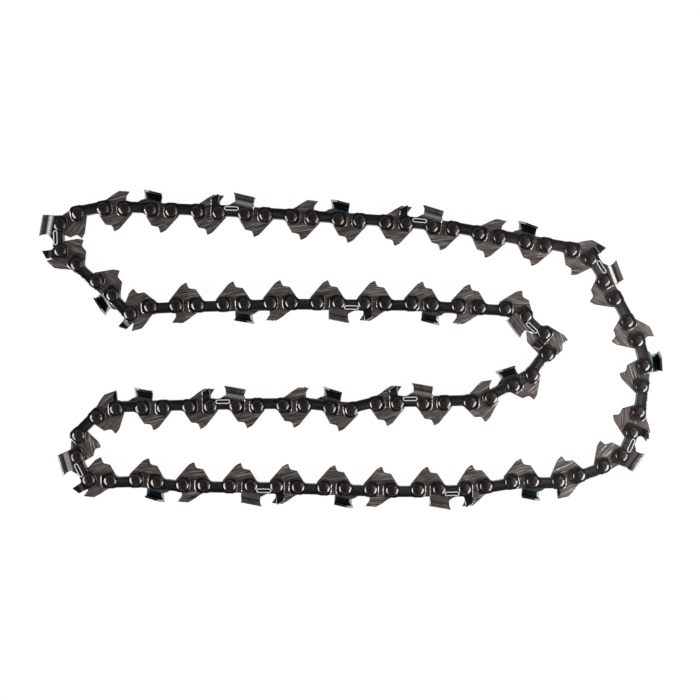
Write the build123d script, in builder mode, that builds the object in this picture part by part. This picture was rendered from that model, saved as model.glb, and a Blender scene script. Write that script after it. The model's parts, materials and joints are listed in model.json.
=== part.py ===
# Saw chain, lying on its side in one closed loop that is folded into a double-row C.
# Each unit is a drive link, the two side plates behind it and the rivet that carries the next unit.
# A link is drawn with its front to -X, its cutting side to +Y and the chain's middle plane at Z = 0.
import math
import os

from build123d import *

os.makedirs("parts", exist_ok=True)

# Chain
drive_link_count = 51
drive_pitch = 8.53  # between the two rivets of a drive link
side_pitch = 10.07  # between the two rivets of a tie strap or a cutter
gauge = 1.3  # drive link thickness, which runs in the bar's groove
plate_thickness = 1.3  # tie straps and cutters
side_clearance = 0.05  # between a drive link and the plates on each side of it

# Rivets, with few sides because a loop has 102 of them
shank_radius = 1.5
shank_sides = 6
pivot_clearance = 0.05
head_radius = 2.45
head_height = 0.5
head_sides = 8

# Tie straps
eye_radius = 3.15
eye_sides = 8
waist_depth = 1.4  # inner edge below the rivet line, at the middle of a plate
waist_half_length = 2.2

# Drive links, with depths below the rivet line and places along the link from its middle
drive_eye_radius = 2.9
tang_depth = 8.7
tang_tip_place = 0.5
tang_heel_place = 2.9
tang_heel_depth = 7.3
tang_root_depth = 1.9
hook_place = -0.25
hook_rise = 0.55  # end of the tip's blunt face above the tip
notch_place = -1.45
notch_depth = 6.4
tang_toe_place = -3.95
tang_toe_depth = 5.85

# Guard bumper on the drive link ahead of each cutter
bumper_height = 6.9
bumper_crest_place = 2.4
bumper_foot = 1.0  # ramp foot behind the front rivet
bumper_overhang = 1.75  # tip behind the rear rivet
bumper_tip_drop = 0.4
bumper_hook_height = 4.4
bumper_hook_reach = 0.25

# Cutters, with heights above the rivet line
tooth_height = 8.4
tooth_lead = 3.9  # cutting tip ahead of the rear rivet
tooth_trail = 4.2  # heel behind the rear rivet
heel_rise = 3.2  # lower corner of the heel
tooth_fall = 0.21  # drop of the top plate for each millimetre towards the heel
top_plate_thickness = 1.1
top_plate_reach = 1.3  # past the middle plane, over the chain
top_plate_angle = 30
tooth_reach = 3.3  # outer side of a tooth from the middle plane
tooth_corner = 0.8
flare_rise = 1.2  # where the side plate starts to lean out, above the rivet head
flare_run = 1.6
face_hollow = 0.45  # hollow ground into the tooth's front face
face_hollow_depth = 2.4
gullet_height = 2.9
gullet_toe = 1.3  # gullet floor's end ahead of the cutting tip
gauge_height = 7.4
gauge_tip_lead = 0.5  # depth gauge tip ahead of the front rivet
gauge_reach = 3.4
gauge_shoulder_height = 5.7
gauge_heel = 1.5  # foot of the depth gauge behind the front rivet

# Lay of the loop: hand-chosen points along the rivet line, round the loop, starting at the first unit
lay_points = [
    (-58.5, 18), (-76.5, 17.5), (-85, 14.5), (-91.5, 21.5), (-106, 34), (-112.5, 39), (-113.5, 49),
    (-106, 54), (-96.5, 56), (-88, 56), (-40.5, 54), (23.5, 50), (42, 48), (70, 43), (88, 40),
    (96, 37), (105.5, 21.5), (114.5, 5), (117.5, -5), (115.5, -23.5), (110, -40.5), (102.5, -45),
    (85.5, -51.5), (66.5, -51.5), (48.5, -54.5), (20, -55), (-26, -53.5), (-63.5, -53), (-82, -51),
    (-101, -51.5), (-106, -43), (-106, -34), (-99, -26.5), (-91.5, -23), (-54, -22), (-17, -21.5),
    (1.5, -23.5), (11, -21), (48, -20.5), (56.5, -19), (73, -10), (79.5, -2.5), (78.5, 6.5),
    (71.5, 13.5), (63, 16.5), (26.5, 18.5), (-21, 19),
]

plate_inner = gauge / 2 + side_clearance
plate_outer = plate_inner + plate_thickness
bore_radius = (shank_radius + pivot_clearance) / math.cos(math.pi / shank_sides)
flare_start = head_radius + flare_rise
flare_end = flare_start + flare_run


# Corners of the rounded end of a link, from its inner to its outer side for a rear end
def eye_corners(centre, radius, sides, first_side=0):
    step = 360 / sides
    reach = radius / math.cos(math.radians(step / 2))
    turns = [math.radians(-90 + step / 2 + step * side) for side in range(first_side, sides // 2)]
    return [(centre + reach * math.cos(turn), reach * math.sin(turn)) for turn in turns]


# The same corners for a front end, from its outer to its inner side
def front_eye_corners(centre, radius, sides, first_side=0):
    corners = eye_corners(-centre, radius, sides, first_side)
    return [(-x, y) for x, y in reversed(corners)]


def bumper_corners():
    front, rear = -drive_pitch / 2, drive_pitch / 2
    return [
        (rear + bumper_hook_reach, bumper_hook_height),
        (rear + bumper_overhang, bumper_height - bumper_tip_drop),
        (bumper_crest_place, bumper_height),
        (front + bumper_foot, drive_eye_radius),
    ]


# Drive link: two eyes, the tang with its hooked tip, and a bumper where a cutter follows
def make_drive_link(has_bumper):
    front, rear = -drive_pitch / 2, drive_pitch / 2
    tang_corners = [
        (front - drive_eye_radius, -tang_root_depth / 2),
        (tang_toe_place, -tang_toe_depth),
        (notch_place, -notch_depth),
        (hook_place, -tang_depth + hook_rise),
        (tang_tip_place, -tang_depth),
        (tang_heel_place, -tang_heel_depth),
        (rear + drive_eye_radius, -tang_root_depth),
    ]
    corners = eye_corners(rear, drive_eye_radius, eye_sides, eye_sides // 4)
    corners += bumper_corners() if has_bumper else []
    corners += front_eye_corners(front, drive_eye_radius, eye_sides, eye_sides // 4)
    corners += tang_corners
    with BuildPart() as link:
        with BuildSketch(Plane.XY.offset(-gauge / 2)):
            with BuildLine():
                Polyline(*corners, close=True)
            make_face()
            with Locations((front, 0)):
                RegularPolygon(bore_radius, shank_sides, mode=Mode.SUBTRACT)
        extrude(amount=gauge)
    link.part.label = "bumper_drive_link" if has_bumper else "drive_link"
    return link.part


# Inner edge that all side plates share, from the front eye round to the rear eye
def plate_inner_edge():
    front, rear = -side_pitch / 2, side_pitch / 2
    corners = front_eye_corners(front, eye_radius, eye_sides)
    corners += [(-waist_half_length, -waist_depth), (waist_half_length, -waist_depth)]
    return corners + eye_corners(rear, eye_radius, eye_sides)


# Tie strap, on the near side of the chain
def make_tie_strap():
    with BuildPart() as strap:
        with BuildSketch(Plane.XY.offset(plate_inner)):
            with BuildLine():
                Polyline(*plate_inner_edge(), close=True)
            make_face()
        extrude(amount=plate_thickness)
    strap.part.label = "tie_strap"
    return strap.part


# Cutter on the near side: a plate with its depth gauge, and a tooth folded out and over the chain
def make_cutter():
    front, rear = -side_pitch / 2, side_pitch / 2
    tip = rear - tooth_lead
    heel = rear + tooth_trail
    gauge_corners = [
        (tip - gullet_toe, gullet_height),
        (front + gauge_heel, gullet_height),
        (front - gauge_tip_lead, gauge_height),
        (front - gauge_reach, gauge_shoulder_height),
    ]
    tooth_section = [
        (0, plate_inner),
        (0, plate_outer),
        (flare_start, plate_outer),
        (flare_end, tooth_reach),
        (tooth_height - tooth_corner, tooth_reach),
        (tooth_height, tooth_reach - tooth_corner),
        (tooth_height, -top_plate_reach),
        (tooth_height - top_plate_thickness, -top_plate_reach),
        (tooth_height - top_plate_thickness, tooth_reach - plate_thickness),
        (flare_end, tooth_reach - plate_thickness),
        (flare_start, plate_inner),
    ]
    foot = tip - gullet_toe
    tooth_side = [
        (foot, 0),
        (foot, gullet_height),
        (tip, tooth_height),
        (heel, tooth_height),
        (heel, heel_rise),
        (rear + eye_radius, 0),
    ]
    ground_off = [
        (tip, tooth_height),
        (tip + face_hollow, tooth_height - face_hollow_depth),
        (foot, gullet_height),
        (foot - tooth_lead, gullet_height),
        (foot - tooth_lead, tooth_height),
    ]
    slant = math.tan(math.radians(top_plate_angle))
    with BuildPart() as tooth:
        with BuildSketch(Plane.XY.offset(-tooth_reach)):
            with BuildLine():
                Polyline(*tooth_side, close=True)
            make_face()
        extrude(amount=2 * tooth_reach)
        with BuildSketch(Plane.YZ.offset(foot)):
            with BuildLine():
                Polyline(*[(y + tooth_fall * gullet_toe, z) for y, z in tooth_section], close=True)
            make_face()
        extrude(amount=2 * (heel - foot), dir=(1, -tooth_fall, 0), mode=Mode.INTERSECT)
        with BuildSketch(Plane.XY.offset(tooth_reach)):
            with BuildLine():
                Polyline(*ground_off, close=True)
            make_face()
        extrude(amount=2 * tooth_reach, dir=(slant, 0, -1), mode=Mode.SUBTRACT)
    with BuildPart() as cutter:
        with BuildSketch(Plane.XY.offset(plate_inner)):
            with BuildLine():
                Polyline(*plate_inner_edge(), *gauge_corners, close=True)
            make_face()
        extrude(amount=plate_thickness)
        add(tooth.part)
    cutter.part.label = "cutter"
    return cutter.part


# Rivet shank, through the next drive link and between the two side plates
def make_shank():
    with BuildPart() as shank:
        with BuildSketch(Plane.XY.offset(-plate_inner)):
            RegularPolygon(shank_radius, shank_sides)
        extrude(amount=2 * plate_inner)
    shank.part.label = "rivet_shank"
    return shank.part


# Peened rivet head, a low dome on the near plate
def make_head():
    with BuildPart() as head:
        with BuildSketch(Plane.XY.offset(plate_outer)) as base:
            RegularPolygon(head_radius, head_sides)
        loft(sections=[base.sketch.face(), Vertex(0, 0, plate_outer + head_height)], ruled=True)
    head.part.label = "rivet_head"
    return head.part


# Rivet centres along the lay at one scale of it, and how far the last one runs past the start
def walk_lay(scale):
    route = [Vector(x, y) * scale for x, y in lay_points]
    count = len(route)
    legs = [route[(i + 1) % count] - route[i] for i in range(count)]
    rivets = [route[0]]
    leg = 0
    for step in range(2 * drive_link_count):
        pitch = side_pitch if step % 2 else drive_pitch
        while (route[(leg + 1) % count] - rivets[-1]).length < pitch:
            leg += 1
        along = legs[leg % count].normalized()
        start = rivets[-1] - route[leg % count]
        ahead = start.dot(along)
        aside = start.dot(start) - ahead * ahead
        place = ahead + math.sqrt(pitch * pitch - aside)
        rivets.append(route[leg % count] + along * place)
    travelled = sum(legs[i % count].length for i in range(leg)) + place
    return rivets[:-1], travelled - sum(leg.length for leg in legs)


# Rivet centres at the scale of the lay at which the chain closes on itself
def close_lay():
    corners = [Vector(x, y) for x, y in lay_points]
    lay_length = sum((b - a).length for a, b in zip(corners, corners[1:] + corners[:1]))
    even_scale = drive_link_count * (drive_pitch + side_pitch) / lay_length
    small, large = 0.9 * even_scale, 1.1 * even_scale
    for _ in range(60):
        scale = (small + large) / 2
        if walk_lay(scale)[1] > 0:
            small = scale
        else:
            large = scale
    return walk_lay(large)[0]


# Place of a link between two rivets
def link_place(front_rivet, rear_rivet):
    along = rear_rivet - front_rivet
    turn = math.degrees(math.atan2(along.Y, along.X))
    middle = (front_rivet + rear_rivet) * 0.5
    return Location((middle.X, middle.Y, 0), (0, 0, turn))


plain_link = make_drive_link(False)
bumper_link = make_drive_link(True)
near_strap = make_tie_strap()
far_strap = mirror(near_strap, about=Plane.XY)
left_cutter = make_cutter()
right_cutter = mirror(left_cutter, about=Plane.XY)
shank = make_shank()
near_head = make_head()
far_head = mirror(near_head, about=Plane.XY)

# Cutters sit on every second unit, right and left in turn; the first unit joins the loop without one
kind_order = ["right_cutter", "strap", "left_cutter", "strap"]
unit_kinds = ["strap"] + [kind_order[i % len(kind_order)] for i in range(drive_link_count - 1)]
rivets = close_lay()
units = []
for number, kind in enumerate(unit_kinds):
    link_front, link_rear = rivets[2 * number], rivets[2 * number + 1]
    side_rear = rivets[(2 * number + 2) % len(rivets)]
    link_spot = link_place(link_front, link_rear)
    side_spot = link_place(link_rear, side_rear)
    has_bumper = number == 0 or kind != "strap"
    plates = {
        "strap": [near_strap, far_strap],
        "left_cutter": [left_cutter, far_strap],
        "right_cutter": [near_strap, right_cutter],
    }[kind]
    pieces = [(bumper_link if has_bumper else plain_link).moved(link_spot)]
    pieces += [plate.moved(side_spot) for plate in plates]
    pieces.append(shank.moved(Location((side_rear.X, side_rear.Y, 0))))
    for rivet in (link_rear, side_rear):
        pieces += [head.moved(Location((rivet.X, rivet.Y, 0))) for head in (near_head, far_head)]
    units.append(Compound(label=f"{kind}_unit_{number + 1:02d}", children=pieces))

# The loop's box is centred on the origin and rests on Z = 0
box = Compound(units).bounding_box()
rest = Location((-box.center().X, -box.center().Y, -box.min.Z))
for unit in units:
    placed = unit.moved(rest)
    placed.label = unit.label
    export_step(placed, f"parts/{unit.label}.step")
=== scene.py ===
import json
import math
import random

import bmesh
import bpy
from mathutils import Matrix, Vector


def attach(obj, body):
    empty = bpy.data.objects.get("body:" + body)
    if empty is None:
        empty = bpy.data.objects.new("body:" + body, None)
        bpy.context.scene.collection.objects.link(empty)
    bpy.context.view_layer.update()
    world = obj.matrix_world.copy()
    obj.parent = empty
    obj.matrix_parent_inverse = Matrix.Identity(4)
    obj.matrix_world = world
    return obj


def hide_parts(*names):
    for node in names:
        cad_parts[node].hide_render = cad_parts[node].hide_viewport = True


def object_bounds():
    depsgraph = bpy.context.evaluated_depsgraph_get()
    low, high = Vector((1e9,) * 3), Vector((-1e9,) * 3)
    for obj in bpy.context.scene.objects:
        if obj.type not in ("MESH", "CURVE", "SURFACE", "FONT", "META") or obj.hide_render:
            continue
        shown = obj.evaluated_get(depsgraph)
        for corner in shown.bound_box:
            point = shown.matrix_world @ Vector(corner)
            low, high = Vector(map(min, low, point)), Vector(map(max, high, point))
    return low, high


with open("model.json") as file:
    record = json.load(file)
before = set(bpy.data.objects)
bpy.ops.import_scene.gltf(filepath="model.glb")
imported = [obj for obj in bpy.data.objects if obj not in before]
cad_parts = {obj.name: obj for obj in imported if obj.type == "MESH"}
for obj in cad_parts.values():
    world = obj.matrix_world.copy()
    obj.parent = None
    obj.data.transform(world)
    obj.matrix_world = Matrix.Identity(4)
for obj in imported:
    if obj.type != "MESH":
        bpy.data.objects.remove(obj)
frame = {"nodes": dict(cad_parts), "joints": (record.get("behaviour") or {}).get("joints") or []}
cadLow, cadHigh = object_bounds()
mm = 0.001

# what the whole chain shares, in mm from its middle plane
chain = {
    "plateInner": 0.70,
    "plateThick": 1.30,
    "linkHalf": 0.65,
    "headRise": 0.50,
    "headSlack": 0.02,    # how far from that level a head's top may be
    "pivotHole": 1.56,
    "grindTurn": (0.05, 0.42),    # slope of the grinding lines to the link, in radians
    "patternShift": 200,    # how far the marks of a unit may be moved
    "seed": 17,
}
plateOuter = chain["plateInner"] + chain["plateThick"]
plateMiddle = chain["plateInner"] + chain["plateThick"] / 2
middlePlane = (cadLow.z + cadHigh.z) / 2


# rivet places, read from the frame: the two head tops of each node and the pivots of its joints

def headTops(name):
    side = -1 if name.startswith("left_cutter") else 1    # the side with no tooth on it
    level = middlePlane + side * (plateOuter + chain["headRise"]) * mm
    tops = []
    for vert in frame["nodes"][name].data.vertices:
        onTop = abs(vert.co.z - level) < chain["headSlack"] * mm
        if onTop and all((vert.co - top).length > mm for top in tops):
            tops.append(vert.co.copy())
    return [Vector((top.x, top.y, middlePlane)) for top in tops]


def unitNumber(name):
    return int(name.rsplit("_", 1)[1])


units = sorted(frame["nodes"], key=unitNumber)
pivotOf = {joint["child"]: Vector(joint["pos_m"]) for joint in frame["joints"]}
firstPivot = max(headTops(units[-1]), key=lambda top: (top - pivotOf[units[-1]]).length)
pivotOf[units[0]] = firstPivot    # the first unit has no joint: the loop is open there
places = {}
for unit in units:
    tops = sorted(headTops(unit), key=lambda top: (top - pivotOf[unit]).length)
    places[unit] = {"linkFront": pivotOf[unit], "linkRear": tops[0], "sideRear": tops[-1]}
sample = places[units[1]]
drivePitch = (sample["linkRear"] - sample["linkFront"]).length / mm
sidePitch = (sample["sideRear"] - sample["linkRear"]).length / mm
print("rivets found for", len(units), "units, pitches", round(drivePitch, 3), round(sidePitch, 3))


# outlines: corners (x, y, rounding), anticlockwise, in mm
outlining = {
    "arcStep": 20,    # degrees in one step of a rounded corner
    "straight": 178,    # a corner wider than this stays as it is
    "sideShare": 0.499,    # how much of the shorter side a rounding may use
    "fullFrom": 2.5,    # a rounding this large keeps its radius on a short side too
    "closest": 0.01,    # a point nearer than this to the one before is left out
    "mitre": 0.4,    # holds back the inset at sharp corners
}


def roundCorners(corners, arcStep=outlining["arcStep"]):
    points = []
    for i, (x, y, radius) in enumerate(corners):
        corner = Vector((x, y))
        before = Vector(corners[i - 1][:2]) - corner
        after = Vector(corners[(i + 1) % len(corners)][:2]) - corner
        u, v = before.normalized(), after.normalized()
        inside = u.angle(v, 0)
        if radius <= 0 or inside > math.radians(outlining["straight"]):
            points.append(corner)
            continue
        reach = radius / math.tan(inside / 2)
        room = outlining["sideShare"] * min(before.length, after.length)
        if reach > room and radius < outlining["fullFrom"]:
            radius *= room / reach
            reach = room
        centre = corner + (u + v).normalized() * radius / math.sin(inside / 2)
        start = corner + u * reach - centre
        end = corner + v * reach - centre
        sweep = start.angle_signed(end, 0)
        steps = max(2, math.ceil(abs(sweep) / math.radians(arcStep)))
        for k in range(steps + 1):
            turn = -sweep * k / steps
            points.append(centre + Vector((
                start.x * math.cos(turn) - start.y * math.sin(turn),
                start.x * math.sin(turn) + start.y * math.cos(turn))))
    return [p for i, p in enumerate(points) if (p - points[i - 1]).length > outlining["closest"]]


def insetLoop(loop, distance):
    moved = []
    for i, point in enumerate(loop):
        before = (point - loop[i - 1]).normalized()
        after = (loop[(i + 1) % len(loop)] - point).normalized()
        normal = Vector((-before.y, before.x))
        blend = (normal + Vector((-after.y, after.x))).normalized()
        moved.append(point + blend * distance / max(outlining["mitre"], blend.dot(normal)))
    return moved


def circleLoop(x, y, radius, steps=16):
    turns = [2 * math.pi * k / steps for k in range(steps)]
    return [Vector((x + radius * math.cos(turn), y + radius * math.sin(turn))) for turn in turns]


# finishes, as numbers kept on the faces; a face that isn't painted has the first
finishes = ["bluedPlate", "linkSteel", "rivetFace", "rivetRim",
            "toothPlate", "groundFace", "temperedFold", "etchedFrame"]
finishNumber = {name: i for i, name in enumerate(finishes)}

# stamped plates: how a rim is broken, and where the shading turns sharp
stamping = {
    "breakIn": 0.18,    # middle of the broken rim, in shares of its width
    "breakUp": 0.42,
    "flatNormal": 0.995,
    "sharpAngle": 40,
}


def newPlate():
    bm = bmesh.new()
    bm.faces.layers.int.new("finish")
    bm.faces.layers.float.new("edgeWear")
    bm.verts.layers.float_vector.new("localPlace")
    return bm


def addRing(bm, loop, height):
    return [bm.verts.new((p.x, p.y, height)) for p in loop]


def skinRings(bm, rings):
    faces = []
    for low, high in zip(rings, rings[1:]):
        for i in range(len(low)):
            j = (i + 1) % len(low)
            faces.append(bm.faces.new((low[i], low[j], high[j], high[i])))
    return faces


def ringEdges(bm, ring):
    return [bm.edges.get(pair) or bm.edges.new(pair) for pair in zip(ring, ring[1:] + ring[:1])]


def capRings(bm, rings):
    edges = [edge for ring in rings for edge in ringEdges(bm, ring)]
    bmesh.ops.triangle_fill(bm, use_beauty=True, use_dissolve=False, edges=edges)


def isFlat(face):
    return abs(face.normal.z) > stamping["flatNormal"]


def addSlot(bm, panel, level):
    # raises a frame around a sunk slot and gives back the frame's outer ring
    middle = (panel["low"] + panel["high"]) / 2
    around = (panel["high"] - panel["low"]) / 2
    loop = []
    for side in (1, -1):
        for k in range(panel["endSteps"] + 1):
            turn = math.pi * (k / panel["endSteps"] + (side < 0))
            x = side * panel["half"] + around * math.sin(turn)
            loop.append(Vector((x, middle - around * math.cos(turn))))
    width, rise = panel["rimWidth"], panel["rimRise"]
    flatFrom, flatTo = panel["rimFlat"]
    levels = [(0, 0), (flatFrom * width, rise), (flatTo * width, rise), (width, -panel["sink"])]
    border = [addRing(bm, insetLoop(loop, inset), level + up) for inset, up in levels]
    for face in skinRings(bm, border):
        face[bm.faces.layers.int["finish"]] = finishNumber["etchedFrame"]
    capRings(bm, [border[-1]])
    return border[0]


def stampPlate(outline, holes, low, high, edge, rubbed, panel=None):
    # a blanked plate with broken rims, pivot holes and, where given, a framed slot on its high side
    bm = newPlate()
    breakIn, breakUp = stamping["breakIn"] * edge, stamping["breakUp"] * edge
    steps = [(edge, low), (breakIn, low + breakUp), (0, low + edge),
             (0, high - edge), (breakIn, high - breakUp), (edge, high)]
    rings = [addRing(bm, insetLoop(outline, inset), height) for inset, height in steps]
    wear = bm.faces.layers.float["edgeWear"]
    for face in skinRings(bm, rings[:2]) + skinRings(bm, rings[-2:]):
        face[wear] = rubbed
    skinRings(bm, rings[1:-1])
    lowRings, highRings = [rings[0]], [rings[-1]]
    for x, y, radius in holes:
        loop = circleLoop(x, y, radius)
        wall = [addRing(bm, loop, low), addRing(bm, loop, high)]
        skinRings(bm, wall)
        lowRings.append(wall[0])
        highRings.append(wall[1])
    if panel:
        highRings.append(addSlot(bm, panel, high))
    capRings(bm, lowRings)
    capRings(bm, highRings)
    bmesh.ops.recalc_face_normals(bm, faces=bm.faces[:])
    bm.normal_update()
    for edgeLine in bm.edges:    # flat sides keep flat shading up to their rims
        if len(edgeLine.link_faces) == 2:
            first, second = edgeLine.link_faces
            bent = edgeLine.calc_face_angle(0) > math.radians(stamping["sharpAngle"])
            edgeLine.smooth = isFlat(first) == isFlat(second) and not bent
    return bm


def keepLocalPlace(bm):
    layer = bm.verts.layers.float_vector["localPlace"]
    for vert in bm.verts:
        vert[layer] = vert.co


def finishTemplate(bm, name):
    for vert in bm.verts:
        vert.co *= mm
    for face in bm.faces:
        face.smooth = True
    mesh = bpy.data.meshes.new(name)
    bm.to_mesh(mesh)
    bm.free()
    template = bpy.data.objects.new(name, mesh)
    bpy.context.scene.collection.objects.link(template)
    return template


def paintFaces(bm, finish, chosen=lambda face: True):
    layer = bm.faces.layers.int["finish"]
    for face in bm.faces:
        if chosen(face):
            face[layer] = finishNumber[finish]


# tie strap: outer edge with a shallow dip, waisted inner edge
tieStrap = {
    "eyeRadius": 3.15,
    "frontReach": 3.25,
    "rearReach": 3.8,
    "endRounding": 2.1,
    "waistDepth": 1.4,
    "waistHalf": 2.4,
    "waistShoulder": 3.9,
    "waistRounding": 1.8,
    "backDip": 0.3,
    "dipStart": 1.2,    # from the rivets
    "dipEnd": 2.2,
    "dipRounding": 1.0,
    "edge": 0.33,
}
front, rear = -sidePitch / 2, sidePitch / 2
strapEye = tieStrap["eyeRadius"]
frontEnd, rearEnd = front - tieStrap["frontReach"], rear + tieStrap["rearReach"]
pivotHoles = [(front, 0, chain["pivotHole"]), (rear, 0, chain["pivotHole"])]


def innerEdge():
    return [
        (frontEnd, -strapEye, tieStrap["endRounding"]),
        (-tieStrap["waistShoulder"], -strapEye, tieStrap["waistRounding"]),
        (-tieStrap["waistHalf"], -tieStrap["waistDepth"], tieStrap["waistRounding"]),
        (tieStrap["waistHalf"], -tieStrap["waistDepth"], tieStrap["waistRounding"]),
        (tieStrap["waistShoulder"], -strapEye, tieStrap["waistRounding"]),
        (rearEnd, -strapEye, tieStrap["endRounding"]),
    ]


def makeStrap(name, side):
    dip = strapEye - tieStrap["backDip"]
    outline = roundCorners(innerEdge() + [
        (rearEnd, strapEye, tieStrap["endRounding"]),
        (rear - tieStrap["dipStart"], strapEye, tieStrap["dipRounding"]),
        (rear - tieStrap["dipEnd"], dip, tieStrap["dipRounding"]),
        (front + tieStrap["dipEnd"], dip, tieStrap["dipRounding"]),
        (front + tieStrap["dipStart"], strapEye, tieStrap["dipRounding"]),
        (frontEnd, strapEye, tieStrap["endRounding"]),
    ])
    low, high = sorted((side * chain["plateInner"], side * plateOuter))
    bm = stampPlate(outline, pivotHoles, low, high, tieStrap["edge"], rubbed=1)
    keepLocalPlace(bm)
    return finishTemplate(bm, name)


# drive link: two eyes, a hooked tang, and on some a guard bumper on the other side
driveLink = {
    "eyeRadius": 2.9,
    "tang": [(-3.6, -6.25, 0.3), (-0.95, -6.65, 1.0), (-0.4, -7.8, 0.8), (-0.05, -8.9, 0.15),
             (0.6, -8.8, 0.6), (2.2, -7.85, 1.6), (3.5, -6.3, 2.0)],
    "frontRoot": 0.9,    # where the tang leaves the eyes
    "rearRoot": 1.9,
    "rootRounding": 1.2,
    "bumper": [(4.6, 3.0, 0.6), (4.6, 4.6, 0.8), (6.1, 6.8, 0.15), (1.9, 7.05, 0.8),
               (-0.7, 5.45, 2.4), (-2.2, 4.25, 3.0), (-4.3, 2.95, 1.5)],
    "rearRounding": 1.8,
    "frontRounding": 2.8,
    "edge": 0.22,
}


def makeDriveLink(name, bumper):
    eye, root = driveLink["eyeRadius"], driveLink["rootRounding"]
    eyeFront, eyeRear = -drivePitch / 2, drivePitch / 2
    corners = [
        (eyeFront - eye, -driveLink["frontRoot"], root),
        *driveLink["tang"],
        (eyeRear + eye, -driveLink["rearRoot"], root),
        (eyeRear + eye, eye, driveLink["rearRounding"]),
    ]
    if bumper:
        corners += driveLink["bumper"]
    corners.append((eyeFront - eye, eye, driveLink["frontRounding"]))
    holes = [(eyeFront, 0, chain["pivotHole"]), (eyeRear, 0, chain["pivotHole"])]
    half = chain["linkHalf"]
    bm = stampPlate(roundCorners(corners), holes, -half, half, driveLink["edge"], rubbed=0)
    keepLocalPlace(bm)
    paintFaces(bm, "linkSteel", isFlat)    # only the sides are ground
    return finishTemplate(bm, name)


# cutter: a waisted plate with a depth gauge in front and a folded tooth behind, ground at a slant
cutter = {
    "arcStep": 15,
    "rearFoot": (1.6, 1.0),    # height and rounding behind the rear eye
    "toothLead": {"near": 4.7, "far": 3.8},
    "toothTrail": {"near": 4.2, "far": 4.35},
    "heelLean": 0.4,
    "heelFoot": (2.9, 0.6),
    "heelRounding": 0.3,
    "tipRounding": 0.12,
    "toothFall": 0.19,
    "toothClear": 2.2,    # the tooth's folds start this far behind the gauge
    "flareStart": 3.3,
    "flareMargin": 0.15,    # a line this far before the bend keeps the plate flat
    "flareAngle": 45,
    "flareRadius": (2.6, 1.6),    # where it leaves the plate, and where it straightens again
    "flareOut": 1.3,
    "toothHeight": 8.2,
    "crownRadius": 0.6,
    "crownSquare": 4.0,
    "foldParts": (5, 1, 5, 1, 6, 1),    # how finely each stretch of the folds is divided
    "topThin": 0.4,
    "thinRun": 1.0,
    "topReach": 1.3,
    "grindAngle": 30,
    "grindRise": (3.6, 5.2),    # heights between which the slant of the front face comes in
    "hollowStart": 3.9,
    "faceHollow": 0.8,
    "gulletHeight": 3.0,
    "gulletRounding": 2.2,
    "gaugeTip": (-5.2, 7.42, 0.3),
    "gaugeShoulder": (-8.25, 5.8, 0.7),
    "gaugeHeel": -4.75,
    "gaugeRounding": 0.9,
    "gaugeClear": 1.0,    # its bend ends this far behind its heel
    "gaugeFold": 3.1,
    "gaugeRun": 1.6,
    "gaugeParts": 5,
    "gaugeOffset": 0.8,
    "edge": 0.27,
    "panel": {"half": 2.08, "low": 0.95, "high": 2.65, "endSteps": 6,
              "rimWidth": 0.38, "rimFlat": (0.4, 0.6), "rimRise": 0.1, "sink": 0.05},
}
# which faces of the flat blank are bare, plated or tinted
cutterPaint = {
    "sideFacing": 0.2,    # least share of a normal that faces a side
    "rimFacing": (0.2, 0.93),    # and of one on a broken upper rim
    "toothMargin": 1.2,    # in front of the tooth's tip
    "topBand": 0.4,
    "gulletFacing": -0.3,
    "gulletMargin": 0.1,
    "gaugeBand": 5.5,
}
flareTurn = math.radians(cutter["flareAngle"])
flareRadii = sum(cutter["flareRadius"])
flareRun = (cutter["flareOut"] - flareRadii * (1 - math.cos(flareTurn))) / math.sin(flareTurn)
flareRise = flareRadii * math.sin(flareTurn) + flareRun * math.cos(flareTurn)
crownStart = cutter["toothHeight"] - chain["plateThick"] / 2 - cutter["crownRadius"]
toothReach = plateOuter + cutter["flareOut"]
folds = [    # length along the blank and turn of each stretch, from the plate up
    (cutter["flareRadius"][0] * flareTurn, flareTurn),
    (flareRun, 0),
    (cutter["flareRadius"][1] * flareTurn, -flareTurn),
    (crownStart - cutter["flareStart"] - flareRise, 0),
    (cutter["crownRadius"] * math.pi / 2, -math.pi / 2),
    (plateMiddle + cutter["flareOut"] - cutter["crownRadius"] + cutter["topReach"], 0),
]
crownLength, topLength = folds[4][0], folds[5][0]
blankTop = cutter["flareStart"] + sum(fold[0] for fold in folds)
crownFoot = blankTop - topLength - crownLength
crownMiddle = crownFoot + crownLength / 2
gaugeSet = cutter["gaugeFold"] + cutter["gaugeRun"]


def alongFold(distance):
    # height, offset and lean of the folded plate at a distance along the blank
    rise, out, lean = cutter["flareStart"], plateMiddle, 0.0
    left = distance - cutter["flareStart"]
    for length, turn in folds:
        step = min(left, length)
        if step <= 0:
            break
        if turn:
            radius = length / turn
            turned = lean + step / radius
            rise += radius * (math.sin(turned) - math.sin(lean))
            out -= radius * (math.cos(turned) - math.cos(lean))
            lean = turned
        else:
            rise += step * math.cos(lean)
            out += step * math.sin(lean)
        left -= step
    return rise, out, lean


def foldLines():
    here = cutter["flareStart"]
    lines = [here - cutter["flareMargin"]]
    for fold, parts in zip(folds, cutter["foldParts"]):
        lines += [here + fold[0] * k / parts for k in range(parts)]
        here += fold[0]
    return lines


def clamp(value):
    return min(1, max(0, value))


def smoothRise(value, low, high):
    t = clamp((value - low) / (high - low))
    return t * t * (3 - 2 * t)


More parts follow.
